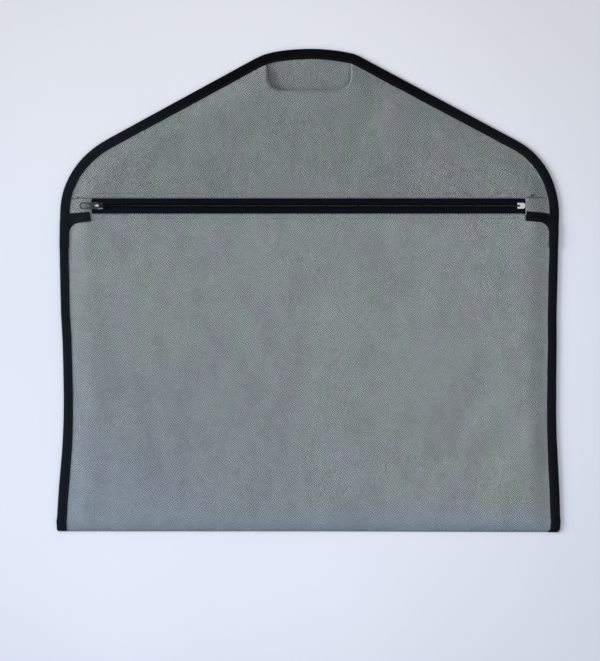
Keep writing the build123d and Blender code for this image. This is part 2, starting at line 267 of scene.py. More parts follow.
def front_height(x, y):
    """Height of the front cloth's top face, from its rise, its slack and the lips of the hook cut-out."""
    inside = np.clip((edge_distance(x, y) - RISE_FOOT) / RISE_RUN, 0, 1)
    from_fold = np.clip((y - FOLD_Y) / (RISE_RUN * 1.1), 0, 1)
    rise = np.sin(inside * math.pi / 2) ** 1.3 * np.sin(from_fold * math.pi / 2) ** 0.8
    relief = sum(fold_height(x, y, fold) for fold in FOLDS)
    relief = relief + WAVES * drift(x, y, 0.11, 3.0) + RIPPLES * drift(x, y, 0.035, 7.0)
    off_zip = np.clip((np.abs(y - ZIP_Y) - ZIP_FLAT) / ZIP_EASE, 0, 1)
    slack = relief * eased(off_zip) - SAG * off_zip
    lips = 0
    for lip_x, lip_y, lift in HOOK_LIPS:
        gap = ((x - lip_x) / (13 * MM)) ** 2 + ((y - lip_y) / (17 * MM)) ** 2
        lips = lips + lift * np.exp(-gap) * np.clip(inside * 5, 0, 1)
    return FLANGE_TOP + (PANEL_TOP - FLANGE_TOP + slack) * rise + lips


def deck_height(x, y):
    """Height of what a tape lies on where it crosses the front: the cloth, or the binding on it."""
    on_binding = np.clip((BINDING + 2 * MM - edge_distance(x, y)) / (3 * MM), 0, 1)
    return front_height(x, y) + (BINDING_TOP - FLANGE_TOP) * on_binding


def back_height(x, y):
    """Height of the back cloth's top face: stepped up at the binding, bellied under the hook cut-out."""
    step = np.clip((RISE_FOOT + 3 * MM - edge_distance(x, y)) / (4 * MM), 0, 1)
    belly = ((x + 4 * MM) / (36 * MM)) ** 2 + ((y - HOOK_Y - 22 * MM) / (19 * MM)) ** 2
    return CLOTH + 0.75 * MM * eased(step) + 1.8 * MM * np.exp(-belly)


# ---------------------------------------------------------------- meshes
def new_piece(name, points, faces, smooth=True):
    """A mesh object from points and faces."""
    mesh = bpy.data.meshes.new(name)
    mesh.from_pydata([tuple(map(float, p)) for p in points], [], [tuple(map(int, f)) for f in faces])
    mesh.validate()
    mesh.update()
    if smooth:
        mesh.shade_smooth()
    piece = bpy.data.objects.new(name, mesh)
    bpy.context.scene.collection.objects.link(piece)
    return piece


def within(boundary, x, y):
    """Whether points are inside a closed polygon."""
    inside = np.zeros(len(x), bool)
    ends = np.roll(boundary, -1, axis=0)
    for (x0, y0), (x1, y1) in zip(boundary, ends):
        if y0 == y1:
            continue
        between = (y0 > y) != (y1 > y)
        inside ^= between & (x < x0 + (y - y0) * (x1 - x0) / (y1 - y0))
    return inside


def cloth_piece(name, boundary, height, thickness=CLOTH, grid=CLOTH_GRID):
    """A sheet of cloth cut to a closed boundary, following a height, with its thickness below."""
    low, high = boundary.min(axis=0), boundary.max(axis=0)
    xs, ys = np.meshgrid(np.arange(low[0], high[0], grid), np.arange(low[1], high[1], grid))
    xs, ys = xs.ravel(), ys.ravel()
    keep = within(boundary, xs, ys)
    xs, ys = xs[keep], ys[keep]
    keep = nearest(xs, ys, boundary) > grid * 0.55
    flat = np.concatenate([boundary, np.stack([xs[keep], ys[keep]], axis=1)])
    count = len(boundary)
    loop = [(i, (i + 1) % count) for i in range(count)]
    out = delaunay_2d_cdt([Vector(p) for p in flat], loop, [], 1, 1e-7)
    points, faces = np.array([tuple(p) for p in out[0]]), [tuple(f) for f in out[2]]
    tops = height(points[:, 0], points[:, 1])
    top = np.column_stack([points, tops])
    bottom = np.column_stack([points, tops - thickness])
    n = len(points)
    sides = [(a, b) for f in faces for a, b in zip(f, f[1:] + f[:1])]
    known = set(sides)
    rim = [(b, a, a + n, b + n) for a, b in sides if (b, a) not in known]
    both = faces + [tuple(i + n for i in reversed(f)) for f in faces] + rim
    return new_piece(name, np.concatenate([top, bottom]), both)


def tube_faces(rings, sides):
    """Faces of a capped tube of that many rings and sides."""
    faces = []
    for i in range(rings - 1):
        for j in range(sides):
            k = (j + 1) % sides
            faces.append((i * sides + j, i * sides + k, (i + 1) * sides + k, (i + 1) * sides + j))
    faces.append(tuple(range(sides - 1, -1, -1)))
    faces.append(tuple((rings - 1) * sides + j for j in range(sides)))
    return faces


def sweep(name, stations):
    """Skins a list of rings, each a list of 3-D points, and closes both ends."""
    rings = np.array(stations)
    count, size = rings.shape[:2]
    return new_piece(name, rings.reshape(-1, 3), tube_faces(count, size))


def many(name, parts):
    """One object from several (points, faces) pairs."""
    points, faces, base = [], [], 0
    for part_points, part_faces in parts:
        points.append(part_points)
        faces.extend(tuple(i + base for i in f) for f in part_faces)
        base += len(part_points)
    return new_piece(name, np.concatenate(points), faces)


def finish_piece(piece, material, body, slot, *nodes):
    """Gives a piece its material and the body that it rides on, and hides the nodes it stands for. slot is
    not used.
    """
    piece.data.materials.append(material)
    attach(piece, body)
    if nodes:
        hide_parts(*nodes)
    return piece


# ---------------------------------------------------------------- materials
class Nodes:
    """A small helper that adds and joins shader nodes."""

    def __init__(self, name):
        self.material = bpy.data.materials.new(name)
        self.material.use_nodes = True
        self.tree = self.material.node_tree
        self.shader = self.tree.nodes["Principled BSDF"]

    def add(self, kind, **values):
        """A new node with its settings."""
        node = self.tree.nodes.new(kind)
        for key, value in values.items():
            setattr(node, key, value)
        return node

    def link(self, source, target):
        """Joins an output to an input."""
        self.tree.links.new(source, target)

    def place(self, scale=(1, 1, 1)):
        """Object coordinates, scaled."""
        coordinates = self.add("ShaderNodeTexCoord")
        mapping = self.add("ShaderNodeMapping")
        mapping.inputs["Scale"].default_value = scale
        self.link(coordinates.outputs["Object"], mapping.inputs["Vector"])
        return mapping.outputs["Vector"]

    def split(self):
        """The x, y and z of object coordinates."""
        parts = self.add("ShaderNodeSeparateXYZ")
        self.link(self.place(), parts.inputs[0])
        return parts.outputs

    def noise(self, scale, detail=2.0, stretch=(1, 1, 1)):
        """Smooth noise from 0 to 1."""
        node = self.add("ShaderNodeTexNoise")
        node.inputs["Scale"].default_value = scale
        node.inputs["Detail"].default_value = detail
        self.link(self.place(stretch), node.inputs["Vector"])
        return node.outputs["Fac"]

    def chance(self, x, y):
        """A random number from 0 to 1 for each cell of a grid."""
        cell = self.add("ShaderNodeCombineXYZ")
        self.link(x, cell.inputs[0])
        self.link(y, cell.inputs[1])
        node = self.add("ShaderNodeTexWhiteNoise", noise_dimensions="3D")
        self.link(cell.outputs[0], node.inputs["Vector"])
        return node.outputs["Value"]

    def math(self, operation, a, b=0.0):
        """Sum, product and the like of two numbers or sockets."""
        node = self.add("ShaderNodeMath", operation=operation)
        for socket, value in zip(node.inputs, (a, b)):
            if isinstance(value, (int, float)):
                socket.default_value = value
            else:
                self.link(value, socket)
        return node.outputs[0]

    def product(self, *values):
        """All values multiplied, from left to right."""
        total = values[0]
        for value in values[1:]:
            total = self.math("MULTIPLY", total, value)
        return total

    def spread(self, value, low, high):
        """Maps 0..1 to low..high."""
        node = self.add("ShaderNodeMapRange")
        node.inputs["To Min"].default_value = low
        node.inputs["To Max"].default_value = high
        self.link(value, node.inputs["Value"])
        return node.outputs["Result"]

    def mix(self, factor, a, b):
        """The first colour where the factor is 0, the second where it is 1."""
        node = self.add("ShaderNodeMix", data_type="RGBA")
        self.link(factor, node.inputs[0])
        for socket, value in ((node.inputs[6], a), (node.inputs[7], b)):
            if isinstance(value, tuple):
                socket.default_value = (*value, 1)
            else:
                self.link(value, socket)
        return node.outputs[2]

    def scaled(self, colour, amount):
        """A colour made lighter or darker by a number."""
        node = self.add("ShaderNodeVectorMath", operation="SCALE")
        self.link(colour, node.inputs[0])
        self.link(amount, node.inputs["Scale"])
        return node.outputs[0]

    def bump(self, height, distance, strength=1.0):
        """A normal that follows a height."""
        node = self.add("ShaderNodeBump")
        node.inputs["Distance"].default_value = distance
        node.inputs["Strength"].default_value = strength
        self.link(height, node.inputs["Height"])
        return node.outputs["Normal"]

    def bands(self, axis, pitch, shift=0.0):
        """A sine wave of that pitch along one axis, from -1 to 1, moved on by an angle."""
        turns = self.math("MULTIPLY", self.split()[axis], 2 * math.pi / pitch)
        return self.math("SINE", self.math("ADD", turns, shift))

    def ramp(self, value, start, end, low, high):
        """Maps start..end smoothly to low..high."""
        node = self.add("ShaderNodeMapRange", interpolation_type="SMOOTHSTEP")
        for socket, number in (("From Min", start), ("From Max", end), ("To Min", low), ("To Max", high)):
            node.inputs[socket].default_value = number
        self.link(value, node.inputs["Value"])
        return node.outputs["Result"]

    def yarn(self, axis, pitch):
        """The number of the yarn that a point lies on, counted along one axis."""
        return self.math("FLOOR", self.math("DIVIDE", self.split()[axis], pitch))

    def done(self, colour, roughness, normal=None, metallic=0.0, sheen=0.0):
        """The material, once its shader has these."""
        self.link(colour, self.shader.inputs["Base Color"])
        if isinstance(roughness, float):
            self.shader.inputs["Roughness"].default_value = roughness
        else:
            self.link(roughness, self.shader.inputs["Roughness"])
        if normal is not None:
            self.link(normal, self.shader.inputs["Normal"])
        self.shader.inputs["Metallic"].default_value = metallic
        self.shader.inputs["Sheen Weight"].default_value = sheen
        return self.material


def canvas(name, shade):
    """Two-tone canvas: a check of light and dark yarns that wanders and swaps its tones, heathered yarns,
    fine ribs, slubs and soft clouds. Its hue drifts. Painted light and shade make it bluer towards the
    lower left and bluer and darker near the fold, and shade darkens a whole copy as painted shade."""
    n = Nodes(name)
    heather = n.chance(n.yarn("X", WARP), n.yarn("Y", WEFT))
    swap = n.chance(n.yarn("X", 2 * WARP), n.yarn("Y", WEFT))
    wander = n.spread(n.noise(70, 1.0), -5.0, 5.0)
    upright = n.bands("X", 2 * WARP, wander)
    weave = n.product(upright, n.bands("Y", 2 * WEFT), 3.0)
    weave = n.math("MAXIMUM", n.math("MINIMUM", weave, 1.0), -1.0)
    runs = n.product(upright, n.spread(swap, -0.28, 0.28))
    checks = n.product(weave, n.ramp(n.noise(170, 2.0), 0.44, 0.56, -0.80, 0.80))
    yarns = n.math("MAXIMUM", 0.04, n.math("ADD", 1.0, n.math("ADD", runs, checks)))
    ribs = n.noise(RIBS, 0.0, (1, 0.72, 1))
    slub = n.noise(RIBS * 0.8, 0.0, (1, 0.14, 1))
    cloud = n.noise(11, 2.0)
    mottle = n.noise(60, 3.0, (1, 0.45, 1))
    tone = n.product(n.spread(heather, 0.85, 1.15), n.spread(ribs, 0.80, 1.20), yarns)
    tone = n.product(tone, n.spread(slub, 0.92, 1.08), n.spread(cloud, 0.92, 1.08))
    tone = n.product(tone, n.spread(mottle, 0.84, 1.16), shade)
    hue = n.ramp(n.noise(24, 1.5, (1, 0.7, 1)), 0.32, 0.68, 0.0, 1.0)
    colour = n.mix(hue, (0.217, 0.234, 0.251), (0.212, 0.247, 0.243))
    x, y, _ = n.split()
    # Painted light: a cool tint that grows towards the lower left, where the cool window light comes from.
    cool_light_aslant = n.math("ADD", n.product(x, -0.55), n.product(y, -1.0))
    colour = n.mix(n.ramp(cool_light_aslant, 0.10, 0.46, 0.0, 1.0), colour, (0.196, 0.233, 0.276))
    # Painted shade: bluer and darker over the last few centimetres before the fold, where the cloth turns
    # away from the light.
    fold_shade = n.ramp(y, FOLD_Y + 6 * MM, FOLD_Y + 34 * MM, 1.0, 0.0)
    colour = n.mix(fold_shade, colour, (0.200, 0.246, 0.292))
    tone = n.product(tone, n.ramp(y, FOLD_Y, FOLD_Y + 16 * MM, 0.82, 1.0))
    height = n.math("ADD", weave, n.product(ribs, 2.0))
    n.shader.inputs["Specular IOR Level"].default_value = 0.2
    return n.done(n.scaled(colour, tone), 0.9, n.bump(height, 0.06 * MM, 0.25), sheen=0.05)


def woven_black(name, light, dark, pitch, sheen):
    """Black woven tape: fine rib, lint-like mottling, painted light at the left, painted shade at the crown.
    """
    n = Nodes(name)
    rib = n.math("ADD", n.bands("X", pitch), n.bands("Y", pitch))
    mottle = n.noise(240, 3.0)
    x, y, _ = n.split()
    # Painted light: lighter towards the left, which faces the light; painted shade: blackest at the crown.
    lit_left = n.ramp(x, -0.30, -0.10, 1.9, 1.0)
    crown_shade = n.ramp(y, CROWN_Y - 110 * MM, CROWN_Y - 30 * MM, 1.0, 0.25)
    colour = n.mix(n.spread(mottle, 0.1, 0.9), dark, light)
    colour = n.scaled(colour, n.product(lit_left, crown_shade))
    fuzz = n.noise(1400, 2.0)
    height = n.math("ADD", rib, n.product(fuzz, 1.5))
    n.shader.inputs["Specular IOR Level"].default_value = 0.07
    return n.done(colour, n.spread(mottle, 0.72, 0.92), n.bump(height, 0.05 * MM, 0.8), sheen=sheen)


def thread(name, colour):
    """Twisted sewing thread."""
    n = Nodes(name)
    n.shader.inputs["Specular IOR Level"].default_value = 0.2
    twist = n.add("ShaderNodeTexWave", wave_type="BANDS", bands_direction="DIAGONAL")
    twist.inputs["Scale"].default_value = 900
    n.link(n.place(), twist.inputs["Vector"])
    shade = n.spread(twist.outputs["Fac"], 0.75, 1.2)
    tone = n.mix(n.noise(300), colour, tuple(c * 1.25 for c in colour))
    return n.done(n.scaled(tone, shade), 0.6, n.bump(twist.outputs["Fac"], 0.04 * MM), sheen=0.02)


def nylon():
    """Slightly glossy black nylon of the coils."""
    n = Nodes("coil_nylon")
    haze = n.noise(500, 2.0)
    colour = n.mix(haze, (0.0006, 0.0014, 0.0026), (0.0024, 0.0038, 0.0056))
    n.shader.inputs["Specular IOR Level"].default_value = 0.06
    return n.done(colour, n.spread(haze, 0.42, 0.58))


def metal(name, colour, low, high):
    """Plated metal with faint wear, fine scratches and a slightly uneven gloss."""
    n = Nodes(name)
    wear = n.noise(420, 4.0)
    scratches = n.noise(1500, 2.0, (0.15, 1, 1))
    tone = n.mix(wear, tuple(c * 0.86 for c in colour), colour)
    return n.done(tone, n.spread(wear, low, high), n.bump(scratches, 0.01 * MM, 0.6), metallic=1.0)


def slider_metal():
    """Near-black nickel, with painted highlights on the crown of the bridge and along the lower wing."""
    n = Nodes("slider_nickel")
    x, y, z = n.split()
    low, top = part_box("slider_body")
    middle = (low + top) / 2
    # Painted highlight on the crown of the bridge.
    off_middle = n.math("ABSOLUTE", n.math("SUBTRACT", x, middle.x - 0.5 * MM))
    crown = n.ramp(off_middle, 1.1 * MM, 2.6 * MM, 1.0, 0.0)
    crown = n.product(crown, n.ramp(z, top.z - 2.4 * MM, top.z - 1.2 * MM, 0.0, 1.0))
    # Painted highlight along the lower wing.
    off_line = n.math("SUBTRACT", middle.y, y)
    lower = n.ramp(off_line, 2.4 * MM, 3.4 * MM, 0.0, 0.42)
    lower = n.product(lower, n.ramp(x, middle.x - 2 * MM, middle.x + 1 * MM, 0.0, 1.0))
    wear = n.noise(420, 4.0)
    dark = n.mix(wear, (0.026, 0.028, 0.031), (0.050, 0.052, 0.056))
    colour = n.mix(n.math("MAXIMUM", crown, lower), dark, (0.86, 0.88, 0.88))
    return n.done(colour, n.spread(wear, 0.20, 0.34), metallic=1.0)


def floor_material():
    """Pale paper-smooth floor with painted light: bluer towards the fold and darker far from the bag."""
    n = Nodes("pale_floor")
    offset = n.add("ShaderNodeVectorMath", operation="ADD")
    offset.inputs[1].default_value = (0.13, 0.03, 0)
    n.link(n.place(), offset.inputs[0])
    middle = n.add("ShaderNodeVectorMath", operation="LENGTH")
    n.link(offset.outputs[0], middle.inputs[0])
    # Painted light: darker away from a point left of the bag's middle, as the light falls off.
    light_falloff = n.ramp(middle.outputs["Value"], 0.28, 0.66, 1.0, 0.83)
    # Painted light: a cool tint towards the fold's side, greyer towards the top.
    cool_light_upward = n.ramp(n.split()["Y"], -0.1, 0.42, 0.0, 1.0)
    colour = n.mix(cool_light_upward, (0.775, 0.815, 0.925), (0.785, 0.805, 0.865))
    falloff_and_patches = n.product(light_falloff, n.spread(n.noise(5, 2.0), 0.975, 1.025))
    return n.done(n.scaled(colour, falloff_and_patches), 0.9, n.bump(n.noise(160, 2.0), 0.02 * MM, 0.4))


CANVAS = canvas("grey_canvas", 1.0)
# The same canvas made darker: painted shade for the yoke, the back and the hook's hem.
SHADED_CANVAS = canvas("grey_canvas_painted_shade", 0.86)
BINDING_CLOTH = woven_black("binding_tape", (0.0042, 0.0062, 0.0096), (0.0012, 0.0022, 0.0040),
                            0.9 * MM, 0.008)
ZIP_CLOTH = woven_black("zip_tape_weave", (0.0022, 0.0044, 0.0084), (0.0008, 0.0020, 0.0042),
                        0.7 * MM, 0.0)
DARK_THREAD = thread("dark_thread", (0.009, 0.012, 0.016))
# The grey thread is darker than the cloth: partly its own colour, partly painted shade of the stitch holes.
GREY_THREAD = thread("grey_thread", (0.050, 0.056, 0.063))
NYLON = nylon()
BRIGHT_NICKEL = metal("bright_nickel", (0.92, 0.93, 0.92), 0.12, 0.26)
SLIDER_METAL = slider_metal()
DULL_NICKEL = metal("dull_nickel", (0.085, 0.092, 0.100), 0.30, 0.44)


# ---------------------------------------------------------------- camera, floor and light
def make_camera():
    """Straight above the bag, a little to its left and towards the fold, and how much width it sees."""
    data = bpy.data.cameras.new("camera")
    height = 2.4
    seen = 806.4 * MM
    data.sensor_width = 36
    data.lens = data.sensor_width * height / seen
    camera = bpy.data.objects.new("camera", data)
    camera.location = (-10.1 * MM, -49.3 * MM, height)
    bpy.context.scene.collection.objects.link(camera)
    bpy.context.scene.camera = camera


def make_floor():
    """Wide floor just under the bag."""
    half = 14.0
    low = -0.02 * MM
    corners = [(-half, -half, low), (half, -half, low), (half, half, low), (-half, half, low)]
    floor = new_piece("floor", corners, [(0, 1, 2, 3)], smooth=False)
    floor.data.materials.append(floor_material())


def hang(light, place, direction):
    """Puts a light in the scene, shining from that direction."""
    lamp = bpy.data.objects.new(light.name, light)
    lamp.location = place
    lamp.rotation_mode = "QUATERNION"
    lamp.rotation_quaternion = Vector(direction).to_track_quat("Z", "Y")
    bpy.context.scene.collection.objects.link(lamp)


def make_light():
    """Even daylight from all round, a soft low sun from the left and a cool window near the fold."""
    world = bpy.data.worlds.new("daylight")
    bpy.context.scene.world = world
    world.use_nodes = True
    background = world.node_tree.nodes["Background"]
    background.inputs["Color"].default_value = (0.99, 0.995, 1.0, 1)
    background.inputs["Strength"].default_value = 0.62
    sun = bpy.data.lights.new("sun", "SUN")
    sun.energy = 2.9
    sun.angle = math.radians(26)
    hang(sun, (0, 0, 0), (-0.92, 0.08, 0.36))
    window = bpy.data.lights.new("window", "AREA")
    window.energy = 1.6
    window.size = 0.7
    window.color = (0.55, 0.72, 1.0)
    hang(window, (-0.75, -0.95, 0.7), (-0.55, -0.75, 0.7))
    bpy.context.scene.view_settings.view_transform = "Standard"


# ---------------------------------------------------------------- cloth panels
def inner_edge(inset):
    """The outline moved in, as one run from the bottom right corner to the bottom left."""
    return EDGE + EDGE_IN * inset


def arc(centre, radius, start, end, count=12):
    """Points of an arc, angles in degrees."""
    turns = np.radians(np.linspace(start, end, count))
    return [(centre[0] + radius * math.cos(t), centre[1] + radius * math.sin(t)) for t in turns]


def closed(points):
    """An evenly spaced closed boundary."""
    points = np.array(points)
    even = respace(np.concatenate([points, points[:1]]), 2.2 * MM)
    return even[:-1]


def side_run(side, low, high, inset):
    """The stretch of one side's edge between two heights, upwards."""
    edge = inner_edge(inset)
    half = len(edge) // 2
    run = edge[:half] if side > 0 else edge[half:][::-1]
    keep = (run[:, 1] > low) & (run[:, 1] < high)
    return run[keep]


def quarter_turn(run, side, radius, top, count=12):
    """A round corner from the end of a side's run up to a height."""
    centre = (run[-1, 0] - side * radius, top - radius)
    return arc(centre, radius, 0 if side > 0 else 180, 90, count)


def make_front_panel():
    """Cloth from the fold up to the zip's lower edge, its two top corners rounded."""
    low = FOLD_Y + 0.3 * MM
    top = (TAB_TOP + TAB_BOTTOM) / 2 - TAB_DROP
    halves = []
    for side, radius in ((1, 18 * MM), (-1, 14 * MM)):
        run = side_run(side, low, top - radius, PANEL_INSET)
        halves.append([tuple(p) for p in run] + quarter_turn(run, side, radius, top))
    right, left = halves
    sill = SILL_Y - SILL_BACK
    step = [(WINDOW_RIGHT, top), (WINDOW_RIGHT, sill), (WINDOW_LEFT, sill), (WINDOW_LEFT, top)]
    boundary = right + step + left[::-1]
    piece = cloth_piece("front_cloth", closed(boundary), front_height)
    return finish_piece(piece, CANVAS, "bag", "canvas", "front_panel")


def hook_edge(grow=0.0):
    """The hook cut-out's edge from upper left round the bottom to upper right, grown by grow."""
    half, bottom, radius = HOOK_HALF + grow, HOOK_Y - grow, HOOK_RADIUS + grow
    top = CROWN_Y - BINDING - 1.5 * MM
    left = [(-half - 1.0 * MM, top)] + arc((-half + radius, bottom + radius), radius, 180, 270)
    right = arc((half - radius, bottom + radius), radius, 270, 360) + [(half, top - 1.5 * MM)]
    return [(x + HOOK_X, y) for x, y in left + right]


def make_yoke_panel():
    """Cloth above the zip, with a lug beside each of its ends and the hook cut-out."""
    lug_low = TAB_BOTTOM + 1.5 * MM - TAB_DROP
    top = ZIP_Y + WINDOW / 2 + HEAD_BACK
    edge = inner_edge(YOKE_INSET)
    keep = edge[:, 1] > lug_low
    rim = edge[keep]
    crown = np.abs(rim[:, 0]) < HOOK_HALF + 3 * MM
    right, left = rim[(rim[:, 0] > 0) & ~crown], rim[(rim[:, 0] < 0) & ~crown]
    boundary = [tuple(p) for p in right] + hook_edge()[::-1] + [tuple(p) for p in left]
    boundary += [(WINDOW_LEFT, lug_low), (WINDOW_LEFT, top), (WINDOW_RIGHT, top), (WINDOW_RIGHT, lug_low)]
    piece = cloth_piece("yoke_cloth", closed(boundary), front_height)
    nodes = ("yoke_panel", "yoke_edge_left", "yoke_edge_right")
    return finish_piece(piece, SHADED_CANVAS, "bag", "canvas", *nodes)


def make_back_panel():
    """Cloth of the back, on the table."""
    piece = cloth_piece("back_cloth", closed(inner_edge(PANEL_INSET)), back_height, grid=6 * MM)
    return finish_piece(piece, SHADED_CANVAS, "bag", "canvas", "back_panel", "back_panel_edge")


def make_bottom_fold():
    """The turn of the cloth at the bottom edge, from the front panel round to the back panel."""
    # Insets from the fold and heights, in millimetres.
    profile = [(2.4, 0.0), (0.9, 0.0), (0.25, 0.35), (0.0, 1.05), (0.2, 1.85), (0.8, 2.3), (2.4, 2.75),
               (2.4, 1.95), (1.1, 1.6), (0.85, 1.1), (1.1, 0.8), (2.4, 0.8)]
    half = FOLD_HALF - 1.6 * MM
    stations = []
    for x in np.linspace(-half, half, 240):
        wave = 0.10 * MM * noise.noise(Vector((x / 0.03, 1.0, 0.0)))
        stations.append([(x, FOLD_Y + inset * MM + wave * (inset < 1), z * MM) for inset, z in profile])
    piece = sweep("bottom_fold", stations)
    return finish_piece(piece, CANVAS, "bag", "canvas")


def hem_height(x, y):
    """Height of the hem's top face, right under the front cloth."""
    return front_height(x, y) - CLOTH


def make_hook_hem():
    """Strip of cloth under the edge of the hook cut-out."""
    limit = CROWN_Y - RISE_FOOT - 4 * MM
    outer = [(x, min(y, limit)) for x, y in hook_edge(HEM)]
    inner = [(x, min(y, limit)) for x, y in hook_edge(-0.15 * MM)]
    piece = cloth_piece("hook_hem", closed(outer + inner[::-1]), hem_height, grid=3 * MM)
    return finish_piece(piece, SHADED_CANVAS, "bag", "canvas", "hook_opening_facing")


# ---------------------------------------------------------------- binding tapes
def tape_width(y):
    """The visible width of the side and shoulder tape."""
    return np.interp(y - FOLD_Y, TAPE_UP * MM, TAPE_WIDE * MM)


def binding_ring(point, normal, along, wobble):
    """One cross-section of the folded tape: under leg, rounded fold, upper leg with its stitch groove."""
    width = tape_width(point[1]) + 0.3 * MM * wobble
    puff = 0.22 * MM * noise.noise(Vector((along / 0.012, 4.0, 0.0)))
    groove = width - STITCH_INSET
    top = BINDING_TOP
    # Insets from the bag's edge, and heights.
    profile = [
        (width, 0.0), (1.3 * MM, 0.0), (0.45 * MM, 0.35 * MM), (0.0, 1.15 * MM), (0.0, 2.0 * MM),
        (0.4 * MM, 2.85 * MM), (1.3 * MM, top + puff), (width * 0.5, top + 0.25 * MM + puff),
        (groove - 0.7 * MM, top + 0.05 * MM), (groove, top - 0.22 * MM), (groove + 0.7 * MM, top),
        (width - 0.25 * MM, top - 0.05 * MM), (width, top - 0.35 * MM), (width, FLANGE_TOP),
        (1.3 * MM, FLANGE_TOP), (0.9 * MM, 1.6 * MM), (1.3 * MM, 0.8 * MM), (width, 0.8 * MM),
    ]
    return [(point[0] + normal[0] * inset, point[1] + normal[1] * inset, z) for inset, z in profile]


def bound_run(name, points, normals):
    """The binding along a stretch of the bag's edge."""
    steps = np.linalg.norm(np.diff(points, axis=0), axis=1)
    along = np.concatenate([[0], np.cumsum(steps)])
    rings = []
    for point, normal, distance in zip(points, normals, along):
        wobble = noise.noise(Vector((distance / 0.03, 9.0, point[0] * 3)))
        rings.append(binding_ring(point, normal, distance, wobble))
    return sweep(name, rings)


def turned_under(points, normals):
    """Draws the outer edge in beside the fold, where the tape's end is turned under, and bulges it above."""
    up = points[:, 1] - FOLD_Y
    pull = 3.2 * MM * np.clip(1 - up / (3.2 * MM), 0, 1) ** 2
    bulge = 0.7 * MM * np.exp(-(((up - 12 * MM) / (4 * MM)) ** 2))
    return points + normals * (pull - bulge)[:, None]


def make_shoulder_binding():
    """Tape over both shoulders and the crown; its ends lie under the side bindings' corners."""
    keep = EDGE[:, 1] > TAB_TOP - TURN_LENGTH + 4.2 * MM
    piece = bound_run("shoulder_tape", EDGE[keep], EDGE_IN[keep])
    return finish_piece(piece, BINDING_CLOTH, "bag", "binding", "shoulder_binding")


def tab_edge(side, inset, radius, dip, end):
    """One long edge of the side tape where it turns the panel's corner and runs in to the zip."""
    drop, rise = dip
    top = TAB_TOP - drop - inset
    run = side_run(side, TAB_TOP - TURN_LENGTH, top - radius, inset)
    corner = quarter_turn(run, side, radius, top, 16)
    reach = side * (WINDOW_RIGHT + end[0] - end[1] * inset)
    points = [tuple(p) for p in run] + corner + [(reach, top + rise)]
    return soften(respace(np.array(points), 0.5 * MM), 20)


def tab_edges(side, corner, dip, end):
    """Outer and inner edge of that tape as matched points."""
    outer = tab_edge(side, 0.0, corner[0], dip, end)
    inner = tab_edge(side, TAB_WIDTH, corner[1], dip, end)
    share = np.linspace(0, 1, 90)
    matched = []
    for edge in (outer, inner):
        at = np.linspace(0, 1, len(edge))
        matched.append(np.stack([np.interp(share, at, edge[:, i]) for i in (0, 1)], axis=1))
    return matched


def tab_band(name, side, corner, dip, end):
    """The doubled tape of that stretch, lying on the cloth and on the shoulder tape."""
    outer, inner = tab_edges(side, corner, dip, end)
    # Shares of the tape's width, and heights above what it lies on.
    insets = np.array([0, 0.03, 0.12, 0.5, 0.73, TAB_GROOVE, 0.86, 0.965, 1])
    lifts = np.array([0.1, 0.75, 1.15, 1.3, 1.1, 0.95, 1.1, 1.05, 0.1]) * MM
    rings = []
    for near, far in zip(outer, inner):
        x = near[0] + (far[0] - near[0]) * insets
        y = near[1] + (far[1] - near[1]) * insets
        deck = deck_height(x, y)
        top = [(a, b, z + lift) for a, b, z, lift in zip(x, y, deck, lifts)]
        under = [(a, b, z + 0.03 * MM) for a, b, z in zip(x[::-1], y[::-1], deck[::-1])][1:-1]
        rings.append(top + under)
    return sweep(name, rings)


def make_side_bindings():
    """Tape along each side, then round the front panel's corner to the end of the zip."""
    for side, name, corner, dip, end in TABS:
        keep = (EDGE[:, 0] * side > 0) & (EDGE[:, 1] < TAB_TOP - TURN_LENGTH + 4 * MM)
        along_side = respace(EDGE[keep], 1.0 * MM)
        into = inward(along_side)
        piece = bound_run(f"side_tape_{name}", turned_under(along_side, into), into)
        finish_piece(piece, BINDING_CLOTH, "bag", "binding", f"side_binding_{name}")
        band = tab_band(f"side_tape_tab_{name}", side, corner, dip, end)
        finish_piece(band, BINDING_CLOTH, "bag", "binding", f"side_binding_{name}")


# ---------------------------------------------------------------- stitches
def stitches(points, surface, lift, seed, thickness=STITCH_RADIUS):
    """Separate stitches along a path: each a short thread that dips into the cloth at both ends."""
    points = respace(points, STITCH + STITCH_GAP)
    if len(points) == 3:
        # Room for two stitches, as in the knot: one in the middle instead.
        points = points[::2]
    sides, rings = 6, 5
    faces = tube_faces(rings, sides)
    turns = np.linspace(0, 2 * math.pi, sides, endpoint=False)
    middles = (points[:-1] + points[1:]) / 2
    heights = surface(middles[:, 0], middles[:, 1]) + lift
    generator = np.random.default_rng(seed)
    parts = []
    for a, b, z in zip(points[:-1], points[1:], heights):
        run = (b - a) / np.linalg.norm(b - a)
        cross = np.array([-run[1], run[0]])
        middle = (a + b) / 2 + cross * generator.normal(0, 0.06 * MM)
        run = run + cross * generator.normal(0, 0.05)
        ring_points = []
        for t in np.linspace(-1, 1, rings):
            radius = thickness * (1 - 0.45 * t**4)
            centre = middle + run * t * STITCH / 2
            dip = 0.22 * MM * t**4
            for turn in turns:
                out = centre + cross * radius * math.cos(turn)
                ring_points.append((out[0], out[1], z - dip + radius * 0.8 * math.sin(turn)))
        parts.append((np.array(ring_points), faces))
    return parts


def level(height):
    """A surface at one height."""
    return lambda x, y: np.full(len(x), height)


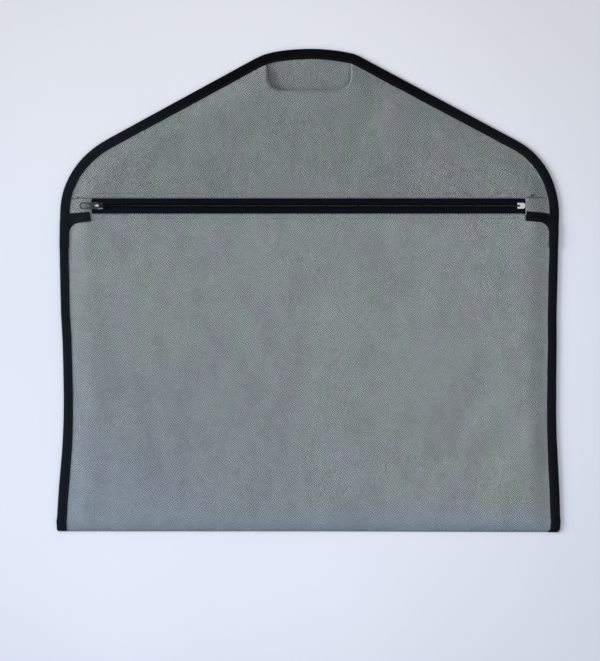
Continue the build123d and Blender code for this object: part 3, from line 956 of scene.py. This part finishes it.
def make_binding_stitches():
    """The row near each binding's inner edge."""
    row = EDGE + EDGE_IN * (tape_width(EDGE[:, 1]) - STITCH_INSET)[:, None]
    lift = -0.02 * MM
    shoulder = row[row[:, 1] > TAB_TOP + 3 * MM]
    piece = many("shoulder_stitches", stitches(shoulder, level(BINDING_TOP), lift, 1))
    finish_piece(piece, DARK_THREAD, "bag", "dark_thread", "thread_shoulder_binding")
    for side, name, corner, dip, end in TABS:
        keep = (row[:, 0] * side > 0) & (row[:, 1] < TAB_TOP - TURN_LENGTH)
        parts = stitches(row[keep], level(BINDING_TOP), lift, 2 + side)
        outer, inner = tab_edges(side, corner, dip, end)
        parts += stitches(outer + (inner - outer) * TAB_GROOVE, deck_height, 0.98 * MM, 5 + side)
        piece = many(f"side_stitches_{name}", parts)
        finish_piece(piece, DARK_THREAD, "bag", "dark_thread", f"thread_side_{name}")


def straight(x0, x1, y):
    """A level path."""
    return np.array([(x0, y), (x1, y)])


# The rows above and below the window, and how far the second rows lie from the middle of the zip.
ROW_ABOVE = ZIP_Y + WINDOW / 2 + 1.6 * MM
ROW_BELOW = ZIP_Y - WINDOW / 2 - 2.2 * MM
SECOND_ROW = TAPE_HIGH.y - ZIP_Y - 0.9 * MM
# Where the loose knot of thread lies, and its loops about that place, in millimetres.
KNOT_X, KNOT_Y = 273 * MM, FOLD_Y + 409 * MM
KNOT = ((-2.0, -1.4), (-0.4, 1.6), (2.6, 0.2), (-3.0, 1.2), (0.2, -1.2), (1.6, 2.2))


def make_upper_zip_stitches():
    """Two rows above the zip: one near the cloth's edge, one along the tape's outer edge."""
    rows = stitches(straight(WINDOW_LEFT, WINDOW_RIGHT, ROW_ABOVE), front_height, 0.06 * MM, 11)
    rows += stitches(straight(WINDOW_LEFT, WINDOW_RIGHT, ZIP_Y + SECOND_ROW), front_height, 0.04 * MM, 12)
    piece = many("zip_stitches_upper", rows)
    finish_piece(piece, GREY_THREAD, "bag", "grey_thread", "thread_zip_upper")


def make_zip_stitch_ends():
    """Thicker dark stitches from the ends of the zip to the side tapes, and a loose knot at the right. The
    stitches are grey thread; their dark colour is painted shade of the needle holes.
    """
    reach = SHOULDER_HALF - BINDING - 2 * MM
    thick = DARK_STITCH_RADIUS
    lift = 0.2 * MM
    first = straight(-reach, WINDOW_LEFT, ROW_ABOVE - 1.2 * MM)
    again = straight(-reach + 9 * MM, WINDOW_LEFT - 11 * MM, ROW_ABOVE + 0.1 * MM)
    right = straight(WINDOW_RIGHT, reach, ROW_ABOVE - 0.3 * MM)
    ends = []
    for i, path in enumerate((first, again, right)):
        ends += stitches(path, front_height, lift, 15 + i, thick)
    knot = [(KNOT_X + x * MM, KNOT_Y + y * MM) for x, y in KNOT]
    for i, (start, stop) in enumerate(zip(knot, knot[1:])):
        ends += stitches(np.array([start, stop]), front_height, 0.25 * MM, 30 + i, thick)
    piece = many("zip_stitch_ends", ends)
    finish_piece(piece, DARK_THREAD, "bag", "grey_thread", "thread_zip_upper")


def make_lower_zip_stitches():
    """Two rows below the zip, a little shorter than those above it."""
    end = WINDOW_RIGHT - 3 * MM
    rows = stitches(straight(-end, end, ROW_BELOW), front_height, 0.06 * MM, 13)
    rows += stitches(straight(-end, end, ZIP_Y - SECOND_ROW), front_height, 0.04 * MM, 14)
    piece = many("zip_stitches_lower", rows)
    finish_piece(piece, GREY_THREAD, "bag", "grey_thread", "thread_zip_lower")


def make_hook_stitches():
    """The row round the hook cut-out."""
    limit = CROWN_Y - BINDING - 3 * MM
    path = np.array([p for p in hook_edge(STITCH_INSET) if p[1] < limit])
    piece = many("hook_stitches", stitches(path, front_height, 0.05 * MM, 21))
    finish_piece(piece, GREY_THREAD, "bag", "grey_thread", "thread_hook_opening")


# ---------------------------------------------------------------- zip
def make_zip_tapes():
    """Two woven tapes, thicker at the corded inner edge, under the edges of the cloth."""
    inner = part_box("zip_coil_upper")[0].y - ZIP_Y - COIL_REACH
    outer = TAPE_HIGH.y - ZIP_Y
    # Distances from the middle of the zip, and heights above the tape's top.
    profile = [(inner, 0.0), (inner + 0.3 * MM, 0.1 * MM), (4.2 * MM, 0.1 * MM), (4.6 * MM, -0.1 * MM),
               (outer - 0.4 * MM, -0.1 * MM), (outer, -0.35 * MM), (outer, -0.7 * MM), (inner, -0.75 * MM)]
    for side, name in ((1, "upper"), (-1, "lower")):
        rings = []
        for x in np.linspace(-TAPE_END, TAPE_END, 160):
            wave = 0.08 * MM * noise.noise(Vector((x / 0.04, 2.0 * side, 0.0)))
            rings.append([(x, ZIP_Y + side * y, TAPE_TOP + z + wave * (y > 5 * MM)) for y, z in profile])
        piece = sweep(f"tape_{name}", rings)
        finish_piece(piece, ZIP_CLOTH, "bag", "zip_tape", f"zip_tape_{name}")


def coil_turn(x, low, high):
    """One turn of a nylon coil: a flat loop of monofilament that fills the space from low to high."""
    sides, steps = 6, 12
    radius = 0.29 * MM
    middle, half = (low + high) / 2, (high - low) / 2
    loop = []
    for i in range(steps):
        t = i / (steps - 1)
        turn = 2 * math.pi * t
        across = middle.y - (half.y - radius) * math.cos(turn)
        up = middle.z + (half.z - radius) * math.sin(turn)
        loop.append(Vector((x + COIL_PITCH * (t - 0.5), across, up)))
    points = []
    for i, centre in enumerate(loop):
        ahead, behind = loop[min(i + 1, steps - 1)], loop[max(i - 1, 0)]
        run = (ahead - behind).normalized()
        first = run.cross(Vector((1, 0, 0))).normalized()
        second = run.cross(first)
        for j in range(sides):
            turn = 2 * math.pi * j / sides
            points.append(centre + (first * math.cos(turn) + second * math.sin(turn)) * radius)
    return np.array([tuple(p) for p in points]), tube_faces(steps, sides)


def make_coils():
    """Both nylon coils, their turns interleaved along the middle of the zip."""
    for side, name in ((1, "upper"), (-1, "lower")):
        low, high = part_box(f"zip_coil_{name}")
        if side > 0:
            low.y -= COIL_REACH
        else:
            high.y += COIL_REACH
        start = low.x + (COIL_PITCH if side > 0 else COIL_PITCH / 2)
        parts = [coil_turn(x, low, high) for x in np.arange(start, high.x - COIL_PITCH, COIL_PITCH)]
        piece = many(f"coil_{name}", parts)
        finish_piece(piece, NYLON, "bag", "zip_coil", f"zip_coil_{name}")


def finish_metal():
    """Materials and softened edges of the metal pieces, which keep their CAD shapes."""
    metals = {"slider_body": SLIDER_METAL, "pull_tab": DULL_NICKEL, "zip_bottom_stop": BRIGHT_NICKEL,
              "zip_top_stop_upper": BRIGHT_NICKEL, "zip_top_stop_lower": BRIGHT_NICKEL}
    for node, material in metals.items():
        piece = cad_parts[node]
        piece.data.materials.clear()
        piece.data.materials.append(material)
        bevel = piece.modifiers.new("edges", "BEVEL")
        bevel.width = STOP_EDGE if node == "zip_bottom_stop" else METAL_EDGE
        bevel.segments = 3
        bevel.limit_method = "ANGLE"
        bevel.angle_limit = math.radians(35)


make_camera()
make_floor()
make_light()
make_front_panel()
make_yoke_panel()
make_back_panel()
make_bottom_fold()
make_hook_hem()
make_shoulder_binding()
make_side_bindings()
make_binding_stitches()
make_upper_zip_stitches()
make_zip_stitch_ends()
make_lower_zip_stitches()
make_hook_stitches()
make_zip_tapes()
make_coils()
finish_metal()
